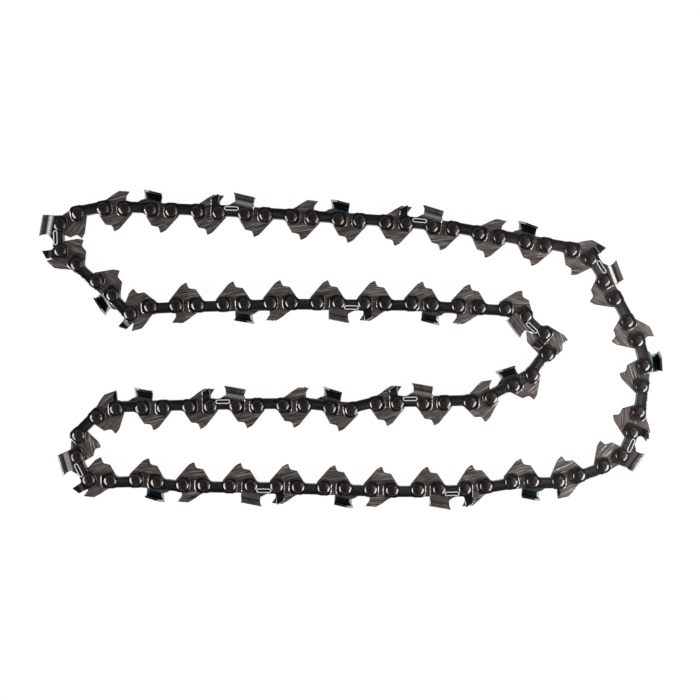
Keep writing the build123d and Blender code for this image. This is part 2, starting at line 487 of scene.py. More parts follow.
def foldTooth(bm, tipX, heelX):
    # bends the flat blank: the tooth out, up and over the chain, the gauge out in a small S
    slant = math.tan(math.radians(cutter["grindAngle"]))
    half = chain["plateThick"] / 2
    hollow = cutter["hollowStart"]
    for vert in bm.verts:
        x, y, z = vert.co
        distance = y + cutter["toothFall"] * (x - tipX)
        if x > cutter["gaugeHeel"] + cutter["toothClear"] and distance > cutter["flareStart"]:
            rise, out, turned = alongFold(distance)
            thin = cutter["topThin"] * smoothRise(distance, crownFoot - cutter["thinRun"], crownMiddle)
            through = half - (half - (z - plateMiddle)) * (1 - thin)
            if distance > crownFoot and through > 0:    # the fold is squarer outside than inside
                across = min(math.pi / 2, -turned)
                power = cutter["crownSquare"]
                square = (math.cos(across) ** power + math.sin(across) ** power) ** (-1 / power) - 1
                through += square * (cutter["crownRadius"] + half) * through / half
            level = rise - math.sin(turned) * through
            z = out + math.cos(turned) * through
            share = clamp((x - tipX) / (heelX - tipX))
            lift = clamp((level - hollow) / (cutter["toothHeight"] - hollow))
            back = cutter["faceHollow"] * math.sin(math.pi * lift)
            back += smoothRise(level, *cutter["grindRise"]) * slant * (toothReach - z)
            x += (1 - share) * back
            y = level - cutter["toothFall"] * (x - tipX)
        elif x < cutter["gaugeHeel"] + cutter["gaugeClear"] and y > cutter["gaugeFold"]:
            z += cutter["gaugeOffset"] * smoothRise(y, cutter["gaugeFold"], gaugeSet)
        vert.co = (x, y, z)


def paintCutter(bm, tipX):
    def blankHeight(face):    # up the tooth's own slope, and 0 off the tooth
        middle = face.calc_center_median()
        onTooth = middle.x > tipX - cutterPaint["toothMargin"]
        return middle.y + cutter["toothFall"] * (middle.x - tipX) if onTooth else 0

    def onRim(face):
        return cutterPaint["rimFacing"][0] < face.normal.y < cutterPaint["rimFacing"][1]

    def onOutside(face):
        return blankHeight(face) > cutter["flareStart"] and face.normal.z > cutterPaint["sideFacing"]

    def onInside(face):
        folded = cutter["flareStart"] < blankHeight(face) < crownFoot
        return folded and face.normal.z < -cutterPaint["sideFacing"]

    def onGullet(face):
        middle = face.calc_center_median()
        above = middle.y > cutter["gulletHeight"] - cutterPaint["gulletMargin"]
        behind = middle.x > tipX - cutter["gulletRounding"]
        return above and behind and face.normal.x < cutterPaint["gulletFacing"]

    def onTopEdge(face):
        return blankHeight(face) > blankTop - cutterPaint["topBand"] and onRim(face)

    def onGaugeEdge(face):
        middle = face.calc_center_median()
        return middle.x < cutter["gaugeTip"][0] and middle.y > cutterPaint["gaugeBand"] and onRim(face)

    paintFaces(bm, "toothPlate", onOutside)
    paintFaces(bm, "temperedFold", onInside)
    for chosen in (onGullet, onTopEdge, onGaugeEdge):
        paintFaces(bm, "groundFace", chosen)


def makeCutter(name, side):
    hand = "near" if side > 0 else "far"
    tipX, heelX = rear - cutter["toothLead"][hand], rear + cutter["toothTrail"][hand]
    outline = roundCorners(innerEdge() + [
        (rearEnd, *cutter["rearFoot"]),
        (heelX - cutter["heelLean"], *cutter["heelFoot"]),
        (heelX, blankTop - cutter["toothFall"] * (heelX - tipX), cutter["heelRounding"]),
        (tipX, blankTop, cutter["tipRounding"]),
        (tipX, cutter["gulletHeight"], cutter["gulletRounding"]),
        (cutter["gaugeHeel"], cutter["gulletHeight"], cutter["gaugeRounding"]),
        cutter["gaugeTip"],
        cutter["gaugeShoulder"],
    ], cutter["arcStep"])
    panel = cutter["panel"] if side > 0 else None
    bm = stampPlate(outline, pivotHoles, chain["plateInner"], plateOuter, cutter["edge"],
                    rubbed=1, panel=panel)
    cuts = [((tipX, line, 0), (cutter["toothFall"], 1, 0)) for line in foldLines()]
    for k in range(-1, cutter["gaugeParts"] + 2):    # one line before the gauge's bend and one after it
        line = cutter["gaugeFold"] + cutter["gaugeRun"] * k / cutter["gaugeParts"]
        cuts.append(((0, line, 0), (0, 1, 0)))
    for place, normal in cuts:
        everything = bm.verts[:] + bm.edges[:] + bm.faces[:]
        bmesh.ops.bisect_plane(bm, geom=everything, plane_co=place, plane_no=normal)
    keepLocalPlace(bm)
    bm.normal_update()
    paintCutter(bm, tipX)
    foldTooth(bm, tipX, heelX)
    if side < 0:
        layer = bm.verts.layers.float_vector["localPlace"]
        for vert in bm.verts:
            vert.co.z = -vert.co.z
            vert[layer] = (vert[layer].x, vert[layer].y, -vert[layer].z)
    bmesh.ops.recalc_face_normals(bm, faces=bm.faces[:])
    return finishTemplate(bm, name)


# rivet: one turned body, peened to a flat disc with a sloping rim at each end
rivet = {
    "shank": 1.5,
    "dome": [(1.5, 0), (1.72, 0.06), (1.97, 0.165), (2.19, 0.28), (2.38, 0.41)],    # radius and fall
    "sides": 20,
    "sharpAngle": 26,
}


def makeRivet(name):
    top = plateOuter + chain["headRise"]
    faceRadius, headRadius = rivet["dome"][0][0], rivet["dome"][-1][0]
    half = [(radius, top - fall) for radius, fall in rivet["dome"]]
    half += [(headRadius, plateOuter), (rivet["shank"], plateOuter)]
    profile = half + [(radius, -height) for radius, height in reversed(half)]
    bm = newPlate()
    rings = [addRing(bm, circleLoop(0, 0, radius, rivet["sides"]), height) for radius, height in profile]
    skinRings(bm, rings)
    bm.faces.new(rings[0])
    bm.faces.new(rings[-1])
    bmesh.ops.recalc_face_normals(bm, faces=bm.faces[:])
    bm.normal_update()
    keepLocalPlace(bm)
    paintFaces(bm, "rivetFace")
    paintFaces(bm, "rivetRim", lambda face: math.hypot(*face.calc_center_median()[:2]) > faceRadius)
    for edgeLine in bm.edges:
        edgeLine.smooth = edgeLine.calc_face_angle(0) < math.radians(rivet["sharpAngle"])
    return finishTemplate(bm, name)


templates = {
    "plainLink": makeDriveLink("plainLink", False),
    "bumperLink": makeDriveLink("bumperLink", True),
    "nearStrap": makeStrap("nearStrap", 1),
    "farStrap": makeStrap("farStrap", -1),
    "leftCutter": makeCutter("leftCutter", 1),
    "rightCutter": makeCutter("rightCutter", -1),
    "rivet": makeRivet("rivet"),
}
print("templates:", {name: len(item.data.polygons) for name, item in templates.items()})


# node helpers

def feed(tree, value, socket):
    if isinstance(value, bpy.types.NodeSocket):
        tree.links.new(value, socket)
    else:
        socket.default_value = value


def addNode(tree, kind, values=None, **settings):
    node = tree.nodes.new(kind)
    for key, value in settings.items():
        setattr(node, key, value)
    for key, value in (values or {}).items():
        feed(tree, value, node.inputs[key])
    return node


def asColour(value):
    return value if isinstance(value, bpy.types.NodeSocket) else (*value, 1)


def mixColours(tree, share, first, second):
    values = {0: share, 6: asColour(first), 7: asColour(second)}
    return addNode(tree, "ShaderNodeMix", values, data_type="RGBA").outputs[2]


def mixValues(tree, share, first, second):
    return addNode(tree, "ShaderNodeMix", {0: share, 2: first, 3: second}, data_type="FLOAT").outputs[0]


def remap(tree, value, fromLow, fromHigh, toLow, toHigh):
    values = {"Value": value, "From Min": fromLow, "From Max": fromHigh, "To Min": toLow, "To Max": toHigh}
    return addNode(tree, "ShaderNodeMapRange", values).outputs[0]


def maths(tree, operation, *numbers):
    return addNode(tree, "ShaderNodeMath", dict(enumerate(numbers)), operation=operation).outputs[0]


def vectors(tree, operation, values):
    return addNode(tree, "ShaderNodeVectorMath", values, operation=operation).outputs


def addNoise(tree, place, scale, detail, roughness=0.5, distortion=0.0):
    values = {"Vector": place, "Scale": scale, "Detail": detail,
              "Roughness": roughness, "Distortion": distortion}
    return addNode(tree, "ShaderNodeTexNoise", values).outputs[0]


def readAttribute(tree, name, output):
    return addNode(tree, "ShaderNodeAttribute", attribute_name=name).outputs[output]


def addSockets(tree, side, kinds):
    for label, kind in kinds.items():
        tree.interface.new_socket(label, in_out=side, socket_type="NodeSocket" + kind)


def newGroup(name, inputs, outputs):
    tree = bpy.data.node_groups.new(name, "ShaderNodeTree")
    addSockets(tree, "INPUT", inputs)
    addSockets(tree, "OUTPUT", outputs)
    return tree, addNode(tree, "NodeGroupOutput").inputs


# place on the piece in mm, shifted for each unit so that no two carry the same marks
pieceCoords, wanted = newGroup("pieceCoords", {}, {"Place": "Vector", "Local": "Vector"})
local = readAttribute(pieceCoords, "localPlace", "Vector")
shift = readAttribute(pieceCoords, "patternShift", "Vector")
feed(pieceCoords, vectors(pieceCoords, "ADD", {0: local, 1: shift})[0], wanted["Place"])
feed(pieceCoords, local, wanted["Local"])

# rubbed rims, broken up by noise
rubbing = {"detail": 3.0, "roughness": 0.6, "fade": 0.12}
edgeRub, wanted = newGroup("edgeRub", {"Place": "Vector", "Scale": "Float", "Start": "Float"},
                           {"Mask": "Float"})
given = addNode(edgeRub, "NodeGroupInput").outputs
patchy = addNoise(edgeRub, given["Place"], given["Scale"], rubbing["detail"], rubbing["roughness"])
stop = maths(edgeRub, "ADD", given["Start"], rubbing["fade"])
broken = remap(edgeRub, patchy, given["Start"], stop, 0, 1)
rim = readAttribute(edgeRub, "edgeWear", "Fac")
feed(edgeRub, maths(edgeRub, "MULTIPLY", rim, broken), wanted["Mask"])

# grinding lines at one angle: a few strong ones, some scratches and a fine grain
grinding = {
    "stretch": (0.035, 1.0, 0.25),    # long along the lines, narrow across them
    "coarse": {"scale": 1.0, "detail": 1.5, "distortion": 0.1},
    "fine": {"scale": 5.5, "detail": 4.0, "roughness": 0.7},
    "lines": (0.58, 0.61),    # stretch of the noise over which each comes in
    "scratches": (0.40, 0.34),
    "grain": (0.3, 0.7),
}
grindLines, wanted = newGroup("grindLines", {"Place": "Vector", "Angle": "Float", "Spacing": "Float"},
                              {"Lines": "Float", "Grain": "Float", "Scratches": "Float"})
given = addNode(grindLines, "NodeGroupInput").outputs
turned = addNode(grindLines, "ShaderNodeVectorRotate", {"Vector": given["Place"], "Angle": given["Angle"]},
                 rotation_type="Z_AXIS").outputs[0]
stretched = vectors(grindLines, "MULTIPLY", {0: turned, 1: grinding["stretch"]})[0]
spaced = vectors(grindLines, "SCALE", {0: stretched, "Scale": given["Spacing"]})[0]
coarse = addNoise(grindLines, spaced, **grinding["coarse"])
fine = addNoise(grindLines, spaced, **grinding["fine"])
feed(grindLines, remap(grindLines, coarse, *grinding["lines"], 0, 1), wanted["Lines"])
feed(grindLines, remap(grindLines, coarse, *grinding["scratches"], 0, 1), wanted["Scratches"])
feed(grindLines, remap(grindLines, fine, *grinding["grain"], 0, 1), wanted["Grain"])

# oil film and tempering shades: broad soft patches and small specks
oiling = {
    "patches": {"detail": 3.0, "roughness": 0.55},
    "patchRange": (0.32, 0.68),
    "specks": {"scale": 3.2, "detail": 2.0},
    "speckRange": (0.3, 0.7),
}
oilFilm, wanted = newGroup("oilFilm", {"Place": "Vector", "Scale": "Float"},
                           {"Patches": "Float", "Specks": "Float"})
given = addNode(oilFilm, "NodeGroupInput").outputs
broad = addNoise(oilFilm, given["Place"], given["Scale"], **oiling["patches"])
specks = addNoise(oilFilm, given["Place"], **oiling["specks"])
feed(oilFilm, remap(oilFilm, broad, *oiling["patchRange"], 0, 1), wanted["Patches"])
feed(oilFilm, remap(oilFilm, specks, *oiling["speckRange"], 0, 1), wanted["Specks"])


def placeGroup(tree, group, coords=None, **values):
    if coords is not None:
        values["Place"] = coords["Place"]
    return addNode(tree, "ShaderNodeGroup", values, node_tree=group).outputs


def newFinish(name, metallic, coat=None):
    material = bpy.data.materials.new(name)
    material.use_nodes = True
    tree = material.node_tree
    sockets = tree.nodes["Principled BSDF"].inputs
    sockets["Metallic"].default_value = metallic
    if coat:
        sockets["Coat Weight"].default_value, sockets["Coat Roughness"].default_value = coat
    return tree, sockets, placeGroup(tree, pieceCoords)


def splitPlace(tree, coords):
    return addNode(tree, "ShaderNodeSeparateXYZ", {0: coords["Local"]}).outputs


def fromAxis(tree, x, y):
    squares = maths(tree, "ADD", maths(tree, "MULTIPLY", x, x), maths(tree, "MULTIPLY", y, y))
    return maths(tree, "SQRT", squares)


def tint(tree, shade, mask, share, colour):
    return mixColours(tree, maths(tree, "MULTIPLY", mask, share), shade, colour)


def addBump(tree, sockets, height, strength, depth):
    bump = addNode(tree, "ShaderNodeBump", {"Height": height, "Strength": strength, "Distance": depth})
    feed(tree, bump.outputs[0], sockets["Normal"])


# In the finishes, coat is weight and roughness, rough the range of the roughness, bump its strength and
# its depth in metres, and a share is how much of a colour a mark takes. Pairs of distances are in mm.

# blued plates: near-black with a blue sheen, oiled, bare along the rims, with painted sheen and painted shade
bluedPlate = {
    "dark": (0.027, 0.0253, 0.033),
    "pale": (0.049, 0.0464, 0.0605),
    "paleSheen": (0.13, 0.126, 0.147),
    "worn": (0.18, 0.179, 0.178),
    "paintedShade": (0.007, 0.0066, 0.008),
    "coat": (0.5, 0.19),
    "filmScale": 0.35,
    "rubScale": 0.8,
    "rubStart": 0.44,
    "spacing": 1.1,
    "lineShare": 0.5,
    "sheenWander": (-1.1, 0.7),    # across the plate
    "sheenFade": (0.2, 0.9),
    "sheenShare": 0.75,
    "edgeShadeFade": (0.5, 1.9),    # from the plate's middle line
    "edgeShadeShare": 0.55,
    "ringShadeFade": (2.5, 3.3),    # from the rivet's axis
    "ringShadeShare": 0.9,
    "rough": (0.23, 0.35),
    "rubGloss": 0.12,
    "bump": (0.1, 0.00004),
}
tree, sockets, coords = newFinish("bluedPlate", 1.0, bluedPlate["coat"])
film = placeGroup(tree, oilFilm, coords, Scale=bluedPlate["filmScale"])
rub = placeGroup(tree, edgeRub, coords, Scale=bluedPlate["rubScale"], Start=bluedPlate["rubStart"])
grind = placeGroup(tree, grindLines, coords, Angle=0.0, Spacing=bluedPlate["spacing"])
apart = splitPlace(tree, coords)
# ring: painted shade around each rivet eye, darker near the rivet's axis
pastRivet = maths(tree, "SUBTRACT", maths(tree, "ABSOLUTE", apart["X"]), rear)
fromRivet = fromAxis(tree, pastRivet, apart["Y"])
ring = remap(tree, fromRivet, *bluedPlate["ringShadeFade"], bluedPlate["ringShadeShare"], 0)
shade = mixColours(tree, film["Patches"], bluedPlate["dark"], bluedPlate["pale"])
# grinding lines along the plate, tinted with the pale sheen: a pattern that also paints lengthwise highlights
shade = tint(tree, shade, grind["Lines"], bluedPlate["lineShare"], bluedPlate["paleSheen"])
# a wandering pale band along the middle: painted sheen, standing in for the highlight of a slightly domed
# plate
wander = maths(tree, "ADD", apart["Y"], remap(tree, film["Patches"], 0, 1, *bluedPlate["sheenWander"]))
paleSheen = remap(tree, maths(tree, "ABSOLUTE", wander), *bluedPlate["sheenFade"], bluedPlate["sheenShare"], 0)
shade = tint(tree, shade, paleSheen, film["Specks"], bluedPlate["paleSheen"])
# painted shade: darker towards the plate's long edges
fromMiddle = maths(tree, "ABSOLUTE", apart["Y"])
edgeShade = remap(tree, fromMiddle, *bluedPlate["edgeShadeFade"], 0, bluedPlate["edgeShadeShare"])
shade = mixColours(tree, edgeShade, shade, bluedPlate["paintedShade"])
shade = mixColours(tree, ring, shade, bluedPlate["paintedShade"])
feed(tree, mixColours(tree, rub["Mask"], shade, bluedPlate["worn"]), sockets["Base Color"])
gloss = remap(tree, film["Specks"], 0, 1, *bluedPlate["rough"])
polish = maths(tree, "MULTIPLY", rub["Mask"], bluedPlate["rubGloss"])
feed(tree, maths(tree, "SUBTRACT", gloss, polish), sockets["Roughness"])
addBump(tree, sockets, grind["Grain"], *bluedPlate["bump"])

# drive links: bare brown-grey steel with slanting grinding lines, and painted shade along the rivet line
# under and between the plates
linkSteel = {
    "pale": (0.33, 0.283, 0.255),
    "dull": (0.237, 0.198, 0.174),
    "line": (0.06, 0.047, 0.04),
    "bright": (0.72, 0.67, 0.64),
    "coat": (0.3, 0.25),
    "filmScale": 0.3,
    "spacing": 3.3,
    "grainShare": 0.32,
    "lineShare": 0.9,
    "scratchShare": 0.85,
    "gapShadeFade": (2.0, 3.3),    # from the line of the rivets
    "gapShadeShare": 0.55,
    "rough": (0.27, 0.4),
    "grainDepth": 0.4,
    "bump": (0.4, 0.00004),
}
tree, sockets, coords = newFinish("linkSteel", 1.0, linkSteel["coat"])
film = placeGroup(tree, oilFilm, coords, Scale=linkSteel["filmScale"])
slope = readAttribute(tree, "grindTurn", "Fac")
grind = placeGroup(tree, grindLines, coords, Angle=slope, Spacing=linkSteel["spacing"])
shade = mixColours(tree, film["Patches"], linkSteel["dull"], linkSteel["pale"])
shade = tint(tree, shade, grind["Grain"], linkSteel["grainShare"], linkSteel["line"])
shade = tint(tree, shade, grind["Lines"], linkSteel["lineShare"], linkSteel["line"])
shade = tint(tree, shade, grind["Scratches"], linkSteel["scratchShare"], linkSteel["bright"])
fromMiddle = maths(tree, "ABSOLUTE", splitPlace(tree, coords)["Y"])
# painted shade: darker near the rivet line, where the plates shade the link
gapShade = remap(tree, fromMiddle, *linkSteel["gapShadeFade"], linkSteel["gapShadeShare"], 0)
feed(tree, mixColours(tree, gapShade, shade, linkSteel["line"]), sockets["Base Color"])
feed(tree, remap(tree, grind["Grain"], 0, 1, *linkSteel["rough"]), sockets["Roughness"])
grain = maths(tree, "MULTIPLY", grind["Grain"], linkSteel["grainDepth"])
addBump(tree, sockets, maths(tree, "ADD", grind["Scratches"], grain), *linkSteel["bump"])

# rivet faces: dark brown, with faint rings from peening
rivetFace = {
    "dark": (0.033, 0.0215, 0.0165),
    "pale": (0.08, 0.053, 0.042),
    "coat": (0.4, 0.2),
    "filmScale": 0.6,
    "rings": 9.0,
    "rough": (0.28, 0.42),
    "bump": (0.2, 0.00003),
}
tree, sockets, coords = newFinish("rivetFace", 1.0, rivetFace["coat"])
film = placeGroup(tree, oilFilm, coords, Scale=rivetFace["filmScale"])
apart = splitPlace(tree, coords)
radius = fromAxis(tree, apart["X"], apart["Y"])
rings = maths(tree, "SINE", maths(tree, "MULTIPLY", radius, rivetFace["rings"]))
feed(tree, mixColours(tree, film["Patches"], rivetFace["dark"], rivetFace["pale"]), sockets["Base Color"])
feed(tree, remap(tree, film["Specks"], 0, 1, *rivetFace["rough"]), sockets["Roughness"])
addBump(tree, sockets, rings, *rivetFace["bump"])

# rivet rims: smooth dark grey, left by the peening tool
rivetRim = {
    "pale": (0.155, 0.152, 0.148),
    "dull": (0.052, 0.049, 0.046),
    "filmScale": 0.9,
    "rough": (0.08, 0.15),
}
tree, sockets, coords = newFinish("rivetRim", 1.0)
film = placeGroup(tree, oilFilm, coords, Scale=rivetRim["filmScale"])
feed(tree, mixColours(tree, film["Patches"], rivetRim["pale"], rivetRim["dull"]), sockets["Base Color"])
feed(tree, remap(tree, film["Specks"], 0, 1, *rivetRim["rough"]), sockets["Roughness"])

# tooth plates: satin grey-brown plating with fine lines, a pale band painted as the bend's highlight, and a
# painted shade line further up the fold
toothPlate = {
    "pale": (0.275, 0.244, 0.22),
    "dull": (0.122, 0.106, 0.094),
    "line": (0.03, 0.026, 0.023),
    "bendSheen": (0.26, 0.259, 0.26),
    "worn": (0.5, 0.48, 0.46),
    "filmScale": 0.3,
    "angle": 1.45,
    "spacing": 2.4,
    "lineShare": 0.45,
    "rubScale": 0.8,
    "rubStart": 0.45,
    "wander": (-0.12, 0.12),
    "bend": 5.3,    # how far along the blank
    "bendSheenFade": (0.6, 1.3),
    "bendSheenShare": 0.85,
    "bendRough": 0.08,
    "creaseShade": 6.5,
    "creaseFade": (0.1, 0.4),
    "creaseShare": 0.75,
    "rough": (0.24, 0.36),
    "bump": (0.2, 0.00004),
}
tree, sockets, coords = newFinish("toothPlate", 1.0)
film = placeGroup(tree, oilFilm, coords, Scale=toothPlate["filmScale"])
grind = placeGroup(tree, grindLines, coords, Angle=toothPlate["angle"], Spacing=toothPlate["spacing"])
rub = placeGroup(tree, edgeRub, coords, Scale=toothPlate["rubScale"], Start=toothPlate["rubStart"])
shade = mixColours(tree, film["Patches"], toothPlate["dull"], toothPlate["pale"])
shade = tint(tree, shade, grind["Lines"], toothPlate["lineShare"], toothPlate["line"])
apart = splitPlace(tree, coords)
slanted = maths(tree, "ADD", apart["Y"], maths(tree, "MULTIPLY", apart["X"], cutter["toothFall"]))
wander = maths(tree, "ADD", slanted, remap(tree, film["Specks"], 0, 1, *toothPlate["wander"]))
# bend: a pale, matt band across the bend, painted to stand in for its highlight
fromBend = maths(tree, "ABSOLUTE", maths(tree, "SUBTRACT", wander, toothPlate["bend"]))
bend = remap(tree, fromBend, *toothPlate["bendSheenFade"], toothPlate["bendSheenShare"], 0)
shade = mixColours(tree, bend, shade, toothPlate["bendSheen"])
# painted shade: a dark line along the fold further up the blank
fromCrease = maths(tree, "ABSOLUTE", maths(tree, "SUBTRACT", wander, toothPlate["creaseShade"]))
creaseShade = remap(tree, fromCrease, *toothPlate["creaseFade"], toothPlate["creaseShare"], 0)
shade = mixColours(tree, creaseShade, shade, toothPlate["line"])
feed(tree, mixColours(tree, rub["Mask"], shade, toothPlate["worn"]), sockets["Base Color"])
satin = remap(tree, grind["Grain"], 0, 1, *toothPlate["rough"])
matt = maths(tree, "MULTIPLY", bend, toothPlate["bendRough"])
feed(tree, maths(tree, "ADD", satin, matt), sockets["Roughness"])
addBump(tree, sockets, grind["Grain"], *toothPlate["bump"])

# inside of the fold: left blue and straw by the hardening
temperedFold = {
    "blue": (0.15, 0.195, 0.235),
    "straw": (0.17, 0.157, 0.138),
    "dark": (0.06, 0.065, 0.074),
    "coat": (0.4, 0.2),
    "filmScale": 0.4,
    "angle": 0.1,
    "spacing": 1.6,
    "strawFade": (5.2, 7.0),    # up the blank
    "patchShare": 0.6,
    "lineShare": 0.5,
    "rough": (0.26, 0.4),
    "bump": (0.15, 0.00004),
}
tree, sockets, coords = newFinish("temperedFold", 1.0, temperedFold["coat"])
film = placeGroup(tree, oilFilm, coords, Scale=temperedFold["filmScale"])
grind = placeGroup(tree, grindLines, coords, Angle=temperedFold["angle"], Spacing=temperedFold["spacing"])
strawward = remap(tree, splitPlace(tree, coords)["Y"], *temperedFold["strawFade"], 0, 1)
shade = mixColours(tree, strawward, temperedFold["blue"], temperedFold["straw"])
shade = tint(tree, shade, film["Patches"], temperedFold["patchShare"], temperedFold["dark"])
shade = tint(tree, shade, grind["Lines"], temperedFold["lineShare"], temperedFold["dark"])
feed(tree, shade, sockets["Base Color"])
feed(tree, remap(tree, grind["Grain"], 0, 1, *temperedFold["rough"]), sockets["Roughness"])
addBump(tree, sockets, grind["Grain"], *temperedFold["bump"])

# ground faces: fresh steel from the file
groundFace = {
    "pale": (0.43, 0.427, 0.422),
    "dull": (0.27, 0.267, 0.262),
    "metallic": 0.6,
    "angle": 0.2,
    "spacing": 4.0,
    "rough": (0.28, 0.42),
}
tree, sockets, coords = newFinish("groundFace", groundFace["metallic"])
grind = placeGroup(tree, grindLines, coords, Angle=groundFace["angle"], Spacing=groundFace["spacing"])
feed(tree, mixColours(tree, grind["Grain"], groundFace["pale"], groundFace["dull"]), sockets["Base Color"])
feed(tree, remap(tree, grind["Grain"], 0, 1, *groundFace["rough"]), sockets["Roughness"])

# frame of the bare slot: matt, etched pale
etchedFrame = {
    "pale": (0.72, 0.715, 0.705),
    "dull": (0.42, 0.415, 0.405),
    "metallic": 0.1,
    "filmScale": 0.8,
    "speckShare": 0.6,
    "rough": (0.5, 0.65),
}
tree, sockets, coords = newFinish("etchedFrame", etchedFrame["metallic"])
film = placeGroup(tree, oilFilm, coords, Scale=etchedFrame["filmScale"])
shade = tint(tree, etchedFrame["pale"], film["Specks"], etchedFrame["speckShare"], etchedFrame["dull"])
feed(tree, shade, sockets["Base Color"])
feed(tree, remap(tree, film["Specks"], 0, 1, *etchedFrame["rough"]), sockets["Roughness"])
print("finishes:", ", ".join(finishes))


# chain unit tree: sets a drive link, two plates and two rivets at the unit's rivet centres
unitTree = bpy.data.node_groups.new("chainUnit", "GeometryNodeTree")
unitTree.is_modifier = True
addSockets(unitTree, "INPUT", {
    "Geometry": "Geometry",
    "Drive Link": "Object",
    "Near Plate": "Object",
    "Far Plate": "Object",
    "Rivet": "Object",
    "Link Front": "Vector",
    "Link Rear": "Vector",
    "Side Rear": "Vector",
    "Pattern Shift": "Vector",
    "Grind Turn": "Float",
    **{finish: "Material" for finish in finishes},
})
addSockets(unitTree, "OUTPUT", {"Geometry": "Geometry"})
unitIn = addNode(unitTree, "NodeGroupInput").outputs


def pickObject(label):
    info = addNode(unitTree, "GeometryNodeObjectInfo", {"Object": unitIn[label], "As Instance": True})
    return info.outputs["Geometry"]


def layBetween(label, start, end):
    # moves a template to the middle of two rivets and turns it along them
    span = vectors(unitTree, "SUBTRACT", {0: end, 1: start})[0]
    parts = addNode(unitTree, "ShaderNodeSeparateXYZ", {0: span}).outputs
    heading = maths(unitTree, "ARCTAN2", parts["Y"], parts["X"])
    turn = addNode(unitTree, "ShaderNodeCombineXYZ", {"Z": heading}).outputs[0]
    total = vectors(unitTree, "ADD", {0: start, 1: end})[0]
    middle = vectors(unitTree, "SCALE", {0: total, "Scale": 0.5})[0]
    values = {"Geometry": pickObject(label), "Translation": middle, "Rotation": turn}
    return addNode(unitTree, "GeometryNodeTransform", values).outputs[0]


def storeOnPoints(geometry, name, kind, value):
    values = {"Geometry": geometry, "Name": name, "Value": value}
    stored = addNode(unitTree, "GeometryNodeStoreNamedAttribute", values, data_type=kind, domain="POINT")
    return stored.outputs[0]


joined = addNode(unitTree, "GeometryNodeJoinGeometry")
feed(unitTree, layBetween("Drive Link", unitIn["Link Front"], unitIn["Link Rear"]), joined.inputs[0])
for plate in ("Near Plate", "Far Plate"):
    feed(unitTree, layBetween(plate, unitIn["Link Rear"], unitIn["Side Rear"]), joined.inputs[0])
index = addNode(unitTree, "GeometryNodeInputIndex").outputs[0]
step = vectors(unitTree, "SUBTRACT", {0: unitIn["Side Rear"], 1: unitIn["Link Rear"]})[0]
along = vectors(unitTree, "SCALE", {0: step, "Scale": index})[0]
rivetPlace = vectors(unitTree, "ADD", {0: unitIn["Link Rear"], 1: along})[0]
points = addNode(unitTree, "GeometryNodePoints", {"Count": 2, "Position": rivetPlace})
rivets = addNode(unitTree, "GeometryNodeInstanceOnPoints",
                 {"Points": points.outputs[0], "Instance": pickObject("Rivet")})
feed(unitTree, rivets.outputs[0], joined.inputs[0])
realized = addNode(unitTree, "GeometryNodeRealizeInstances", {"Geometry": joined.outputs[0]})
dressed = storeOnPoints(realized.outputs[0], "patternShift", "FLOAT_VECTOR", unitIn["Pattern Shift"])
dressed = storeOnPoints(dressed, "grindTurn", "FLOAT", unitIn["Grind Turn"])
finishValue = addNode(unitTree, "GeometryNodeInputNamedAttribute", {"Name": "finish"}, data_type="INT")
for finish in finishes:
    same = addNode(unitTree, "FunctionNodeCompare", data_type="INT", operation="EQUAL")
    feed(unitTree, finishValue.outputs[0], same.inputs[2])
    feed(unitTree, finishNumber[finish], same.inputs[3])
    values = {"Geometry": dressed, "Selection": same.outputs[0], "Material": unitIn[finish]}
    dressed = addNode(unitTree, "GeometryNodeSetMaterial", values).outputs[0]
feed(unitTree, dressed, addNode(unitTree, "NodeGroupOutput").inputs[0])
socketOf = {item.name: item.identifier for item in unitTree.interface.items_tree if item.in_out == "INPUT"}


def dropObject(spare):
    mesh = spare.data
    bpy.data.objects.remove(spare)
    bpy.data.meshes.remove(mesh)


# one plain mesh for each body
dice = random.Random(chain["seed"])
shownPieces = []
for unit in units:
    number, place = unitNumber(unit), places[unit]
    isLeft, isRight = unit.startswith("left_cutter"), unit.startswith("right_cutter")
    hasBumper = isLeft or isRight or number == 1    # the first unit joins the loop
    seedObject = bpy.data.objects.new("seed", bpy.data.meshes.new("seed"))
    bpy.context.scene.collection.objects.link(seedObject)
    modifier = seedObject.modifiers.new("chainUnit", "NODES")
    modifier.node_group = unitTree
    settings = {
        "Drive Link": templates["bumperLink" if hasBumper else "plainLink"],
        "Near Plate": templates["leftCutter" if isLeft else "nearStrap"],
        "Far Plate": templates["rightCutter" if isRight else "farStrap"],
        "Rivet": templates["rivet"],
        "Link Front": place["linkFront"],
        "Link Rear": place["linkRear"],
        "Side Rear": place["sideRear"],
        "Pattern Shift": [dice.uniform(-chain["patternShift"], chain["patternShift"]) for axis in range(3)],
        "Grind Turn": -dice.uniform(*chain["grindTurn"]),
    }
    settings.update({finish: bpy.data.materials[finish] for finish in finishes})
    for label, value in settings.items():
        modifier[socketOf[label]] = value
    graph = bpy.context.evaluated_depsgraph_get()
    mesh = bpy.data.meshes.new_from_object(seedObject.evaluated_get(graph), depsgraph=graph)
    kindName = "leftCutterUnit" if isLeft else "rightCutterUnit" if isRight else "strapUnit"
    mesh.name = f"{kindName}{number:02d}"
    piece = bpy.data.objects.new(mesh.name, mesh)
    bpy.context.scene.collection.objects.link(piece)
    dropObject(seedObject)
    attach(piece, unit)
    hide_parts(unit)
    shownPieces.append(piece)
for template in templates.values():
    dropObject(template)
triangles = sum(len(polygon.vertices) - 2 for piece in shownPieces for polygon in piece.data.polygons)
print("units dressed:", len(shownPieces), "pieces,", triangles, "triangles")


